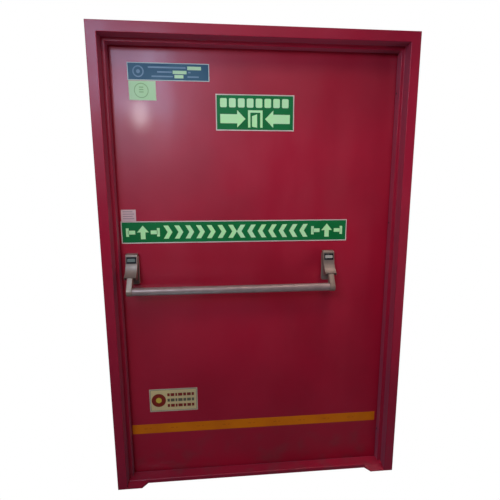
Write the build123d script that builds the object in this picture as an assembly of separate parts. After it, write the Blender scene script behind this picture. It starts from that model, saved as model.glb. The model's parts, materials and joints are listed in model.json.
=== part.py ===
from build123d import *
import os
from math import acos, atan2, cos, radians, sin, sqrt, tan

# Frame: X to the right seen from the push side, Y away from the viewer, Z up.
# The origin lies on the floor, midway between the jambs and midway through the frame's depth.
FRAME_WIDTH = 1388.0
FRAME_HEIGHT = 2100.0
FRAME_DEPTH = 142.0
FACE_WIDTH = 44.0
STOP_STEP = 16.0
FRONT_REBATE = 48.0
STOP_DEPTH = 37.0
FRAME_SHEET = 2.0
WALL_RETURN = 14.0
BEND_RADIUS = 3.0

# Fixing holes in the jambs' stops, the lowest set out from the floor and the others from the top
FIXING_HOLE_D = 10.0
FIXING_SETBACK = 28.0
LOW_FIXING_HEIGHT = 187.0
MIDDLE_FIXING_DROP = 819.0
HIGH_FIXING_DROP = 231.0

# Sill and the sloping foot plates in front of it
SILL_HEIGHT = 20.0
SILL_REBATE_HEIGHT = 6.0
SILL_SETBACK = 29.0
SILL_SHEET = 2.0
SILL_BEND = 5.0
FOOT_REACH = 72.0
FOOT_SPLAY = 24.0
FOOT_EDGE = 2.5

# Leaf and its running gaps
LEAF_GAP = 5.0
LEAF_THICKNESS = 50.0
SKIN_SHEET = 1.5
CHANNEL_DEPTH = 25.0
CHANNEL_SHEET = 1.5
SEAL_WIDTH = 8.0
SEAL_CLEARANCE = 0.3

# Butt hinges on the pull side
HINGE_NAMES = ("bottom", "middle", "top")
HINGE_END_DISTANCE = 240.0
HINGE_HEIGHT = 102.0
HINGE_WING_WIDTH = 38.0
HINGE_WING_THICKNESS = 2.2
HINGE_BARREL_D = 15.0
HINGE_PIN_D = 8.0
HINGE_PIN_CLEARANCE = 0.1
HINGE_AXIS_OUT = 9.0
HINGE_KNUCKLES = 3
HINGE_KNUCKLE_GAP = 0.4

# Mortice lock: faceplate on the leaf's edge and strike plate in the rebate
LOCK_HEIGHT = 1060.0
FACEPLATE_SIZE = (22.0, 200.0)
FACEPLATE_THICKNESS = 2.0
STRIKE_SIZE = (26.0, 150.0)
STRIKE_THICKNESS = 2.0
BOLT_SIZE = (12.0, 32.0)
BOLT_LENGTH = 30.0
BOLT_CLEARANCE = 0.3

# End cases of the push bar, set out from the jambs' stops and from the pivot
LATCH_CASE_INSET = 53.0
HINGE_CASE_INSET = 296.0
PIVOT_HEIGHT = 1130.0
PIVOT_OUT = 19.0
CASE_WIDTH = 54.0
CASE_RISE = 22.0
BASE_HEIGHT = 139.0
BASE_THICKNESS = 6.0
BASE_CORNER = 10.0
BASE_BEVEL = 1.5
PIVOT_PIN_D = 8.0
PIN_CLEARANCE = 0.05
EAR_THICKNESS = 4.0
EAR_GAP = 2.0
EAR_RADIUS = 6.5
HOOD_WALL = 3.0
HOOD_CROWN = 12.0
HOOD_BEND = -20.0
HOOD_FRONT_TOP = 28.0
HOOD_LEAN = 9.0
HOOD_LIP_OUT = 79.0
HOOD_LIP_DROP = 77.0
HOOD_EDGE = 2.0
CHEEK_DROP = 90.0
HOOD_SEAT = 0.3
PUSH_TRAVEL = 18.0
REAR_CLEARANCE = 5.0

# Arms and the tube between them
ARM_WIDTH = 25.0
ARM_THICKNESS = 14.0
ARM_EDGE = 2.0
ARM_FOOT_RADIUS = 20.0
BAR_OUT = 90.0
BAR_DROP = 138.0
TUBE_D = 36.0
TUBE_WALL = 2.0
SPIGOT_LENGTH = 20.0
SPIGOT_CLEARANCE = 0.1

# Window bezels on the hoods
WINDOW_WIDTH = 44.0
WINDOW_HEIGHT = 30.0
WINDOW_DROP = 13.0
WINDOW_THICKNESS = 1.2

# Signs and labels. Sizes are width and height. An inset runs from the latch jamb's stop to the
# left edge, a drop from the head's stop to the top edge and a height from the floor.
PLATE_THICKNESS = 1.0
LABEL_THICKNESS = 0.4
EXIT_PLATE_SIZE = (352.0, 155.0)
EXIT_PLATE_OFFSET = 10.0
EXIT_PLATE_DROP = 184.0
PUSH_PLATE_SIZE = (1057.0, 102.0)
PUSH_PLATE_INSET = 7.5
PUSH_PLATE_OVER_CASE = 45.0
CERTIFICATE_SIZE = (348.0, 72.0)
CERTIFICATE_INSET = 74.5
CERTIFICATE_DROP = 63.0
GREEN_LABEL_SIZE = (116.0, 81.0)
GREEN_LABEL_INSET = 76.0
GREEN_LABEL_GAP = 1.0
GREY_LABEL_SIZE = (66.0, 52.0)
GREY_LABEL_INSET = 11.0
GREY_LABEL_GAP = 1.0
RATING_SIZE = (236.0, 121.0)
RATING_INSET = 93.5
RATING_HEIGHT = 345.0
TAPE_WIDTH = 50.0
TAPE_LATCH_INSET = 2.0
TAPE_HINGE_INSET = 10.0
TAPE_HEIGHT = 228.0

# Places worked out from the sizes above
HALF_WIDTH = FRAME_WIDTH / 2
FRONT_Y = -FRAME_DEPTH / 2
BACK_Y = FRAME_DEPTH / 2
REBATE_X = HALF_WIDTH - FACE_WIDTH
STOP_X = REBATE_X - STOP_STEP
STOP_FRONT_Y = FRONT_Y + FRONT_REBATE
STOP_BACK_Y = STOP_FRONT_Y + STOP_DEPTH
LEAF_X = REBATE_X - LEAF_GAP
LEAF_FRONT_Y = STOP_BACK_Y + LEAF_GAP
LEAF_BACK_Y = LEAF_FRONT_Y + LEAF_THICKNESS
STOP_TOP = FRAME_HEIGHT - FACE_WIDTH - STOP_STEP
LEAF_TOP = FRAME_HEIGHT - FACE_WIDTH - LEAF_GAP
LEAF_BOTTOM = SILL_REBATE_HEIGHT + LEAF_GAP
LEAF_MID_Y = (LEAF_FRONT_Y + LEAF_BACK_Y) / 2
SILL_FRONT_Y = FRONT_Y + SILL_SETBACK
HINGE_AXIS_X = (REBATE_X + LEAF_X) / 2
HINGE_AXIS_Y = BACK_Y + HINGE_AXIS_OUT
LATCH_CASE_X = -STOP_X + LATCH_CASE_INSET
HINGE_CASE_X = STOP_X - HINGE_CASE_INSET
CASE_TOP = PIVOT_HEIGHT + CASE_RISE
BASE_TOP = CASE_TOP - HOOD_WALL - REAR_CLEARANCE
BAR_HEIGHT = PIVOT_HEIGHT - BAR_DROP
PIVOT_Y = LEAF_FRONT_Y - PIVOT_OUT
BAR_Y = LEAF_FRONT_Y - BAR_OUT


def box(x0, x1, y0, y1, z0, z1):
    """Block between two corners."""
    size = (x1 - x0, y1 - y0, z1 - z0)
    middle = ((x0 + x1) / 2, (y0 + y1) / 2, (z0 + z1) / 2)
    return Pos(*middle) * Box(*size)


def folded_section(points, sheet, bend, side):
    """Closed outline of a sheet folded along the points, with rounded bends."""
    path = FilletPolyline(*points, radius=bend)
    outline = Wire(path.edges()).offset_2d(sheet, kind=Kind.INTERSECTION, side=side, closed=True)
    return make_face(outline.edges())


def frame_section():
    """Double-rebate section of jambs and head, with the wall line at x = 0 and the door at -x."""
    face = -FACE_WIDTH
    stop = -FACE_WIDTH - STOP_STEP
    points = [
        (0, FRONT_Y + WALL_RETURN),
        (0, FRONT_Y),
        (face, FRONT_Y),
        (face, STOP_FRONT_Y),
        (stop, STOP_FRONT_Y),
        (stop, STOP_BACK_Y),
        (face, STOP_BACK_Y),
        (face, BACK_Y),
        (0, BACK_Y),
        (0, BACK_Y - WALL_RETURN),
    ]
    return folded_section(points, FRAME_SHEET, BEND_RADIUS, Side.RIGHT)


def corner_wedge(above):
    """Half space beyond the mitre at the right top corner, above or below its slope."""
    reach = FACE_WIDTH + STOP_STEP + FRAME_DEPTH
    low = (HALF_WIDTH - reach, FRAME_HEIGHT - reach)
    high = (HALF_WIDTH + reach, FRAME_HEIGHT + reach)
    far = (low[0], high[1]) if above else (high[0], low[1])
    face = Plane.XZ * make_face(Polyline(low, high, far, close=True))
    return extrude(face, amount=FRAME_DEPTH, both=True)


def jamb_right():
    """Right-hand jamb with its fixing holes, mitred at the head."""
    jamb = extrude(Pos(HALF_WIDTH, 0, 0) * frame_section(), amount=FRAME_HEIGHT)
    jamb -= corner_wedge(above=True)
    hole_y = STOP_FRONT_Y + FIXING_SETBACK
    for height in (LOW_FIXING_HEIGHT, FRAME_HEIGHT - MIDDLE_FIXING_DROP, FRAME_HEIGHT - HIGH_FIXING_DROP):
        hole = Pos(STOP_X, hole_y, height) * Rot(0, 90, 0) * Cylinder(FIXING_HOLE_D / 2, STOP_STEP)
        jamb -= hole
    return jamb


def frame_head():
    """Head of the frame, mitred to both jambs."""
    plane = Plane(origin=(HALF_WIDTH, 0, FRAME_HEIGHT), x_dir=(0, 0, 1), z_dir=(-1, 0, 0))
    head = extrude(plane * frame_section(), amount=FRAME_WIDTH)
    wedge = corner_wedge(above=False)
    head -= wedge
    head -= mirror(wedge, about=Plane.YZ)
    return head


def sill():
    """Hollow folded sill, higher in front as the leaf's stop and notched round the jambs' stops."""
    points = [
        (SILL_FRONT_Y, 0),
        (SILL_FRONT_Y, SILL_HEIGHT),
        (STOP_BACK_Y, SILL_HEIGHT),
        (STOP_BACK_Y, SILL_REBATE_HEIGHT),
        (BACK_Y, SILL_REBATE_HEIGHT),
        (BACK_Y, 0),
    ]
    outer = make_face(Polyline(*points, close=True))
    bends = [corner for corner in outer.vertices() if corner.Y > SILL_REBATE_HEIGHT]
    outer = fillet(bends, radius=SILL_BEND)
    inner = offset(outer, amount=-SILL_SHEET)
    section = outer - inner
    plane = Plane(origin=(-REBATE_X, 0, 0), x_dir=(0, 1, 0), z_dir=(1, 0, 0))
    body = extrude(plane * section, amount=2 * REBATE_X)
    jamb = jamb_right()
    for side in (-1, 1):
        low, high = sorted((side * STOP_X, side * (REBATE_X + STOP_STEP)))
        body -= box(low, high, STOP_FRONT_Y, STOP_BACK_Y, -SILL_HEIGHT, 2 * SILL_HEIGHT)
    return body - jamb - mirror(jamb, about=Plane.YZ)


def foot_plate_right():
    """Sloping plate in the corner between the right jamb and the sill, splayed at its end."""
    side = make_face(Polyline(
        (FRONT_Y, 0),
        (SILL_FRONT_Y, 0),
        (SILL_FRONT_Y, SILL_HEIGHT - SILL_BEND),
        (FRONT_Y, FOOT_EDGE),
        close=True,
    ))
    tip = REBATE_X - FOOT_REACH
    rear = tip - FOOT_SPLAY
    plane = Plane(origin=(rear, 0, 0), x_dir=(0, 1, 0), z_dir=(1, 0, 0))
    plate = extrude(plane * side, amount=REBATE_X - rear)
    outline = Polyline(
        (REBATE_X, FRONT_Y), (tip, FRONT_Y), (rear, SILL_FRONT_Y), (REBATE_X, SILL_FRONT_Y), close=True,
    )
    return plate & extrude(make_face(outline), amount=SILL_HEIGHT)


def jamb_seal_right():
    """Seal strip on the back of the right jamb's stop."""
    outer = REBATE_X - (STOP_STEP - SEAL_WIDTH) / 2 - FRAME_SHEET / 2
    return box(
        outer - SEAL_WIDTH, outer,
        STOP_BACK_Y, LEAF_FRONT_Y - SEAL_CLEARANCE,
        SILL_HEIGHT, STOP_TOP,
    )


def head_seal():
    """Seal strip on the back of the head's stop, between the jambs' seals."""
    outer = REBATE_X - (STOP_STEP - SEAL_WIDTH) / 2 - FRAME_SHEET / 2
    low = STOP_TOP + (STOP_STEP - SEAL_WIDTH) / 2 - FRAME_SHEET / 2
    return box(
        -outer, outer,
        STOP_BACK_Y, LEAF_FRONT_Y - SEAL_CLEARANCE,
        low, low + SEAL_WIDTH,
    )


def hinge_heights():
    """Middle height of each hinge, from bottom to top."""
    low = LEAF_BOTTOM + HINGE_END_DISTANCE
    high = LEAF_TOP - HINGE_END_DISTANCE
    steps = len(HINGE_NAMES) - 1
    return [low + (high - low) * step / steps for step in range(steps + 1)]


def knuckles(height, first):
    """Every second knuckle of a hinge's barrel, counted from its lower end."""
    pitch = HINGE_HEIGHT / HINGE_KNUCKLES
    length = pitch - HINGE_KNUCKLE_GAP
    shapes = []
    for index in range(first, HINGE_KNUCKLES, 2):
        middle = height - HINGE_HEIGHT / 2 + pitch * (index + 0.5)
        shapes.append(Pos(HINGE_AXIS_X, HINGE_AXIS_Y, middle) * Cylinder(HINGE_BARREL_D / 2, length))
    return shapes


def wing_gaps(height, first):
    """Blocks that free a wing from the other wing's knuckles."""
    pitch = HINGE_HEIGHT / HINGE_KNUCKLES
    room = HINGE_BARREL_D / 2 + HINGE_KNUCKLE_GAP
    shapes = []
    for index in range(first, HINGE_KNUCKLES, 2):
        low = height - HINGE_HEIGHT / 2 + pitch * index - HINGE_KNUCKLE_GAP / 2
        shapes.append(box(
            HINGE_AXIS_X - room, HINGE_AXIS_X + room,
            HINGE_AXIS_Y - room, HINGE_AXIS_Y + room,
            low, low + pitch + HINGE_KNUCKLE_GAP,
        ))
    return shapes


def frame_wing(height):
    """Hinge wing on the jamb, with its knuckles and the pin through the whole barrel."""
    wing = box(
        REBATE_X - HINGE_WING_THICKNESS, REBATE_X,
        BACK_Y - HINGE_WING_WIDTH, HINGE_AXIS_Y,
        height - HINGE_HEIGHT / 2, height + HINGE_HEIGHT / 2,
    )
    for gap in wing_gaps(height, 1):
        wing -= gap
    for knuckle in knuckles(height, 0):
        wing += knuckle
    wing += Pos(HINGE_AXIS_X, HINGE_AXIS_Y, height) * Cylinder(HINGE_PIN_D / 2, HINGE_HEIGHT)
    return wing


def leaf_wing(height):
    """Hinge wing on the leaf's edge, with its knuckles bored for the pin."""
    wing = box(
        LEAF_X, LEAF_X + HINGE_WING_THICKNESS,
        BACK_Y - HINGE_WING_WIDTH, HINGE_AXIS_Y,
        height - HINGE_HEIGHT / 2, height + HINGE_HEIGHT / 2,
    )
    for gap in wing_gaps(height, 0):
        wing -= gap
    for knuckle in knuckles(height, 1):
        wing += knuckle
    bore = Cylinder(HINGE_PIN_D / 2 + HINGE_PIN_CLEARANCE, 2 * HINGE_HEIGHT)
    return wing - Pos(HINGE_AXIS_X, HINGE_AXIS_Y, height) * bore


def strike_plate():
    """Plate in the latch jamb's rebate with the hole for the latch bolt."""
    width, height = STRIKE_SIZE
    plate = box(
        -REBATE_X, -REBATE_X + STRIKE_THICKNESS,
        LEAF_MID_Y - width / 2, LEAF_MID_Y + width / 2,
        LOCK_HEIGHT - height / 2, LOCK_HEIGHT + height / 2,
    )
    plate = fillet(plate.edges().filter_by(Axis.X), radius=width / 5)
    hole_width, hole_height = BOLT_SIZE
    return plate - box(
        -REBATE_X - STRIKE_THICKNESS, -REBATE_X + 2 * STRIKE_THICKNESS,
        LEAF_MID_Y - hole_width / 2, LEAF_MID_Y + hole_width / 2,
        LOCK_HEIGHT - hole_height / 2, LOCK_HEIGHT + hole_height / 2,
    )


def skin(front):
    """Steel face sheet of the leaf, on the push side or the pull side."""
    start = LEAF_FRONT_Y if front else LEAF_BACK_Y - SKIN_SHEET
    return box(-LEAF_X, LEAF_X, start, start + SKIN_SHEET, LEAF_BOTTOM, LEAF_TOP)


def upright_channel(side):
    """Folded channel that closes the latch or hinge edge of the leaf."""
    y0 = LEAF_FRONT_Y + SKIN_SHEET
    y1 = LEAF_BACK_Y - SKIN_SHEET
    inner, outer = sorted((side * (LEAF_X - CHANNEL_DEPTH), side * LEAF_X))
    block = box(inner, outer, y0, y1, LEAF_BOTTOM, LEAF_TOP)
    low, high = sorted((side * (LEAF_X - 2 * CHANNEL_DEPTH), side * (LEAF_X - CHANNEL_SHEET)))
    return block - box(
        low, high, y0 + CHANNEL_SHEET, y1 - CHANNEL_SHEET,
        LEAF_BOTTOM - CHANNEL_DEPTH, LEAF_TOP + CHANNEL_DEPTH,
    )


def level_channel(top):
    """Folded channel that closes the top or bottom of the leaf, between the upright channels."""
    y0 = LEAF_FRONT_Y + SKIN_SHEET
    y1 = LEAF_BACK_Y - SKIN_SHEET
    x1 = LEAF_X - CHANNEL_DEPTH
    edge = LEAF_TOP if top else LEAF_BOTTOM
    into = -1 if top else 1
    low, high = sorted((edge, edge + into * CHANNEL_DEPTH))
    block = box(-x1, x1, y0, y1, low, high)
    low, high = sorted((edge + into * CHANNEL_SHEET, edge + into * 2 * CHANNEL_DEPTH))
    return block - box(
        -x1 - CHANNEL_DEPTH, x1 + CHANNEL_DEPTH,
        y0 + CHANNEL_SHEET, y1 - CHANNEL_SHEET,
        low, high,
    )


def lock_faceplate():
    """Faceplate of the mortice lock, let into the latch edge flush with it."""
    width, height = FACEPLATE_SIZE
    plate = box(
        -LEAF_X, -LEAF_X + FACEPLATE_THICKNESS,
        LEAF_MID_Y - width / 2, LEAF_MID_Y + width / 2,
        LOCK_HEIGHT - height / 2, LOCK_HEIGHT + height / 2,
    )
    bolt_width, bolt_height = BOLT_SIZE
    return plate - box(
        -LEAF_X - FACEPLATE_THICKNESS, -LEAF_X + 2 * FACEPLATE_THICKNESS,
        LEAF_MID_Y - bolt_width / 2, LEAF_MID_Y + bolt_width / 2,
        LOCK_HEIGHT - bolt_height / 2, LOCK_HEIGHT + bolt_height / 2,
    )


def latch_bolt():
    """Latch bolt drawn in flush with the faceplate."""
    width, height = BOLT_SIZE
    half_width = width / 2 - BOLT_CLEARANCE
    half_height = height / 2 - BOLT_CLEARANCE
    return box(
        -LEAF_X, -LEAF_X + BOLT_LENGTH,
        LEAF_MID_Y - half_width, LEAF_MID_Y + half_width,
        LOCK_HEIGHT - half_height, LOCK_HEIGHT + half_height,
    )


def lock_pocket():
    """Room in the leaf for the faceplate and the bolt."""
    width, height = FACEPLATE_SIZE
    plate = box(
        -LEAF_X, -LEAF_X + FACEPLATE_THICKNESS,
        LEAF_MID_Y - width / 2, LEAF_MID_Y + width / 2,
        LOCK_HEIGHT - height / 2, LOCK_HEIGHT + height / 2,
    )
    bolt_width, bolt_height = BOLT_SIZE
    bolt = box(
        -LEAF_X, -LEAF_X + BOLT_LENGTH,
        LEAF_MID_Y - bolt_width / 2, LEAF_MID_Y + bolt_width / 2,
        LOCK_HEIGHT - bolt_height / 2, LOCK_HEIGHT + bolt_height / 2,
    )
    return plate + bolt


def leaf_core(channels):
    """Infill of the leaf, between the skins and round the edge channels."""
    core = box(
        -LEAF_X + CHANNEL_SHEET, LEAF_X - CHANNEL_SHEET,
        LEAF_FRONT_Y + SKIN_SHEET, LEAF_BACK_Y - SKIN_SHEET,
        LEAF_BOTTOM + CHANNEL_SHEET, LEAF_TOP - CHANNEL_SHEET,
    )
    for channel in channels:
        core -= channel
    return core - lock_pocket()


def side_plane(x):
    """Plane whose x runs out from the leaf's push face and whose y runs up from the pivot's height."""
    return Plane(origin=(x, LEAF_FRONT_Y, PIVOT_HEIGHT), x_dir=(0, -1, 0), z_dir=(-1, 0, 0))


def case_base(centre):
    """Back box of an end case: a rounded plate on the leaf with two ears for the pivot pin."""
    plate = box(
        centre - CASE_WIDTH / 2, centre + CASE_WIDTH / 2,
        LEAF_FRONT_Y - BASE_THICKNESS, LEAF_FRONT_Y,
        BASE_TOP - BASE_HEIGHT, BASE_TOP,
    )
    plate = fillet(plate.edges().filter_by(Axis.Y), radius=BASE_CORNER)
    front = plate.faces().sort_by(Axis.Y)[0]
    plate = chamfer(front.edges(), length=BASE_BEVEL)
    ear_start = ARM_WIDTH / 2 + EAR_GAP
    outline = Polyline(
        (BASE_THICKNESS / 2, EAR_RADIUS),
        (PIVOT_OUT, EAR_RADIUS),
        (PIVOT_OUT, -EAR_RADIUS),
        (BASE_THICKNESS / 2, -2 * EAR_RADIUS),
        close=True,
    )
    shape = make_face(outline) + Pos(PIVOT_OUT, 0) * Circle(EAR_RADIUS)
    shape -= Pos(PIVOT_OUT, 0) * Circle(PIVOT_PIN_D / 2 + PIN_CLEARANCE)
    for side in (-1, 1):
        near, far = sorted((side * ear_start, side * (ear_start + EAR_THICKNESS)))
        plane = side_plane(centre + far)
        plate += extrude(plane * shape, amount=far - near)
    return plate


def hood_front(height):
    """How far a hood's leaning front stands out from the leaf, at a height over the pivot."""
    return HOOD_FRONT_TOP + (CASE_TOP - PIVOT_HEIGHT - height) * tan(radians(HOOD_LEAN))


def hood_sweep(inset):
    """Points of a hood's flared arc, from its bend to its lip, and how far the middle one leans."""
    lean = radians(HOOD_LEAN)
    bend = (hood_front(HOOD_BEND) - inset / cos(lean), HOOD_BEND)
    lip = (HOOD_LIP_OUT - inset, -HOOD_LIP_DROP)
    chord = (lip[0] - bend[0], bend[1] - lip[1])
    half_turn = atan2(chord[0], chord[1]) - lean
    radius = sqrt(chord[0] ** 2 + chord[1] ** 2) / (2 * sin(half_turn))
    mid_lean = lean + half_turn
    middle = (
        bend[0] + radius * (cos(lean) - cos(mid_lean)),
        bend[1] + radius * (sin(lean) - sin(mid_lean)),
    )
    return bend, middle, lip, mid_lean


def hood_outline(inset, open_by):
    """Side outline of a hood. The inset gives its hollow, which runs out at the back and below."""
    top = CASE_TOP - PIVOT_HEIGHT - inset
    bend, middle, lip, _ = hood_sweep(inset)
    round_top = HOOD_CROWN - inset
    front_top = (hood_front(top - round_top) - inset / cos(radians(HOOD_LEAN)), top - round_top)
    crown_start = (front_top[0] - round_top, top)
    rear = BASE_THICKNESS + REAR_CLEARANCE - open_by
    foot = -CHEEK_DROP - open_by
    foot_rear = (rear + CHEEK_DROP * tan(radians(PUSH_TRAVEL)), foot)
    if open_by:
        beyond = HOOD_LIP_OUT + open_by
        below = [lip, (beyond, lip[1]), (beyond, foot), foot_rear, (rear, 0)]
    else:
        below = [lip, (lip[0] - HOOD_CROWN, foot), foot_rear, (rear, 0)]
    top_rear = REAR_CLEARANCE - open_by
    edges = [
        Polyline((rear, 0), (rear, top - HOOD_WALL), (top_rear, top - HOOD_WALL), (top_rear, top)),
        Line((top_rear, top), crown_start),
        TangentArc(crown_start, front_top, tangent=(1, 0)),
        Line(front_top, bend),
        ThreePointArc(bend, middle, lip),
        Polyline(*below),
    ]
    return make_face(Wire.combine(edges)[0])


def hood_rims(shape):
    """Edges where a hood's top and front meet its two cheeks."""
    rows = shape.edges().group_by(Axis.X)
    lowest = PIVOT_HEIGHT - HOOD_LIP_DROP
    front = LEAF_FRONT_Y - BASE_THICKNESS - REAR_CLEARANCE
    rims = []
    for edge in rows[0] + rows[-1]:
        middle = edge.center()
        on_top = middle.Z > CASE_TOP - HOOD_WALL / 4
        if on_top or (middle.Y < front - HOOD_WALL and middle.Z > lowest):
            rims.append(edge)
    return rims


def hood(centre):
    """Curved cover over the head of an arm, open behind and below, on the pivot pin."""
    width = CASE_WIDTH
    outer = extrude(side_plane(centre + width / 2) * hood_outline(0, 0), amount=width)
    outer = chamfer(hood_rims(outer), length=HOOD_EDGE)
    inner_width = width - 2 * HOOD_WALL
    inner = hood_outline(HOOD_WALL, 4 * HOOD_WALL)
    outer -= extrude(side_plane(centre + inner_width / 2) * inner, amount=inner_width)
    bore = Cylinder(PIVOT_PIN_D / 2 + PIN_CLEARANCE, 2 * width)
    return outer - Pos(centre, PIVOT_Y, PIVOT_HEIGHT) * Rot(0, 90, 0) * bore


def foot_touch(start, way):
    """Point where a straight edge from the start touches an arm's round foot, in front or behind."""
    foot = (BAR_OUT, BAR_HEIGHT - PIVOT_HEIGHT)
    away = (start[0] - foot[0], start[1] - foot[1])
    turn = atan2(away[1], away[0]) - way * acos(ARM_FOOT_RADIUS / sqrt(away[0] ** 2 + away[1] ** 2))
    return foot[0] + ARM_FOOT_RADIUS * cos(turn), foot[1] + ARM_FOOT_RADIUS * sin(turn)


def arm_outline():
    """Side outline of an arm: its head on the pin, the sweep under the hood and the run to its round foot."""
    seat = HOOD_WALL + HOOD_SEAT
    bend, middle, lip, mid_lean = hood_sweep(seat)
    head_rear = BASE_THICKNESS + REAR_CLEARANCE + HOOD_WALL
    head_front = hood_front(EAR_RADIUS) - seat / cos(radians(HOOD_LEAN))
    front_touch = foot_touch(lip, 1)
    run = atan2(front_touch[0] - lip[0], lip[1] - front_touch[1])
    knee = (middle[0] - ARM_THICKNESS * cos(mid_lean), middle[1] - ARM_THICKNESS * sin(mid_lean))
    mouth_rear = (lip[0] - ARM_THICKNESS * cos(run), lip[1] - ARM_THICKNESS * sin(run))
    rear_touch = foot_touch(mouth_rear, -1)
    lowest = (BAR_OUT, BAR_HEIGHT - PIVOT_HEIGHT - ARM_FOOT_RADIUS)
    edges = [
        Line((head_rear, EAR_RADIUS), (head_front, EAR_RADIUS)),
        Line((head_front, EAR_RADIUS), bend),
        ThreePointArc(bend, middle, lip),
        Line(lip, front_touch),
        ThreePointArc(front_touch, lowest, rear_touch),
        Line(rear_touch, mouth_rear),
        Line(mouth_rear, knee),
        Line(knee, (head_rear, -EAR_RADIUS)),
        Line((head_rear, -EAR_RADIUS), (head_rear, EAR_RADIUS)),
    ]
    return make_face(edges)


def arm(centre, inward):
    """Arm on the pivot pin, with a spigot at its foot that carries the tube."""
    body = extrude(side_plane(centre + ARM_WIDTH / 2) * arm_outline(), amount=ARM_WIDTH)
    rows = body.edges().group_by(Axis.X)
    body = chamfer(rows[0] + rows[-1], length=ARM_EDGE)
    bore = Cylinder(PIVOT_PIN_D / 2 + PIN_CLEARANCE, 2 * ARM_WIDTH)
    body -= Pos(centre, PIVOT_Y, PIVOT_HEIGHT) * Rot(0, 90, 0) * bore
    face = centre + inward * ARM_WIDTH / 2
    spigot = Cylinder(TUBE_D / 2 - TUBE_WALL - SPIGOT_CLEARANCE, 2 * SPIGOT_LENGTH)
    return body + Pos(face, BAR_Y, BAR_HEIGHT) * Rot(0, 90, 0) * spigot


def bar_tube():
    """Tube between the two arms, slipped over their spigots."""
    start = LATCH_CASE_X + ARM_WIDTH / 2
    end = HINGE_CASE_X - ARM_WIDTH / 2
    ring = Circle(TUBE_D / 2) - Circle(TUBE_D / 2 - TUBE_WALL)
    plane = Plane(origin=(start, BAR_Y, BAR_HEIGHT), x_dir=(0, 1, 0), z_dir=(1, 0, 0))
    return extrude(plane * ring, amount=end - start)


def pivot_pin(centre):
    """Pin through the hood, the ears of the base and the head of the arm."""
    pin = Cylinder(PIVOT_PIN_D / 2, CASE_WIDTH)
    return Pos(centre, PIVOT_Y, PIVOT_HEIGHT) * Rot(0, 90, 0) * pin


def window_bezel(centre):
    """Thin framed window on the leaning front of a hood."""
    lean = radians(HOOD_LEAN)
    top = CASE_TOP - PIVOT_HEIGHT - WINDOW_DROP
    start = (hood_front(top), top)
    down = (sin(lean), -cos(lean))
    out = (cos(lean), sin(lean))
    end = (start[0] + down[0] * WINDOW_HEIGHT, start[1] + down[1] * WINDOW_HEIGHT)
    outline = Polyline(
        start,
        end,
        (end[0] + out[0] * WINDOW_THICKNESS, end[1] + out[1] * WINDOW_THICKNESS),
        (start[0] + out[0] * WINDOW_THICKNESS, start[1] + out[1] * WINDOW_THICKNESS),
        close=True,
    )
    return extrude(side_plane(centre + WINDOW_WIDTH / 2) * make_face(outline), amount=WINDOW_WIDTH)


def plate(left, bottom, size, thickness):
    """Thin sign or label on the leaf's push face."""
    width, height = size
    return box(left, left + width, LEAF_FRONT_Y - thickness, LEAF_FRONT_Y, bottom, bottom + height)


def signs():
    """Signs, labels and tape on the leaf, by the names of their nodes."""
    exit_left = -EXIT_PLATE_SIZE[0] / 2 - EXIT_PLATE_OFFSET
    exit_bottom = STOP_TOP - EXIT_PLATE_DROP - EXIT_PLATE_SIZE[1]
    push_bottom = CASE_TOP + PUSH_PLATE_OVER_CASE
    certificate_bottom = STOP_TOP - CERTIFICATE_DROP - CERTIFICATE_SIZE[1]
    green_bottom = certificate_bottom - GREEN_LABEL_GAP - GREEN_LABEL_SIZE[1]
    grey_bottom = push_bottom + PUSH_PLATE_SIZE[1] + GREY_LABEL_GAP
    tape_size = (2 * STOP_X - TAPE_LATCH_INSET - TAPE_HINGE_INSET, TAPE_WIDTH)
    return {
        "exit_sign": plate(exit_left, exit_bottom, EXIT_PLATE_SIZE, PLATE_THICKNESS),
        "push_sign": plate(PUSH_PLATE_INSET - STOP_X, push_bottom, PUSH_PLATE_SIZE, PLATE_THICKNESS),
        "certificate_plate": plate(
            CERTIFICATE_INSET - STOP_X, certificate_bottom, CERTIFICATE_SIZE, PLATE_THICKNESS,
        ),
        "green_label": plate(GREEN_LABEL_INSET - STOP_X, green_bottom, GREEN_LABEL_SIZE, LABEL_THICKNESS),
        "grey_label": plate(GREY_LABEL_INSET - STOP_X, grey_bottom, GREY_LABEL_SIZE, LABEL_THICKNESS),
        "rating_sticker": plate(RATING_INSET - STOP_X, RATING_HEIGHT, RATING_SIZE, LABEL_THICKNESS),
        "warning_tape": plate(TAPE_LATCH_INSET - STOP_X, TAPE_HEIGHT, tape_size, LABEL_THICKNESS),
    }


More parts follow.
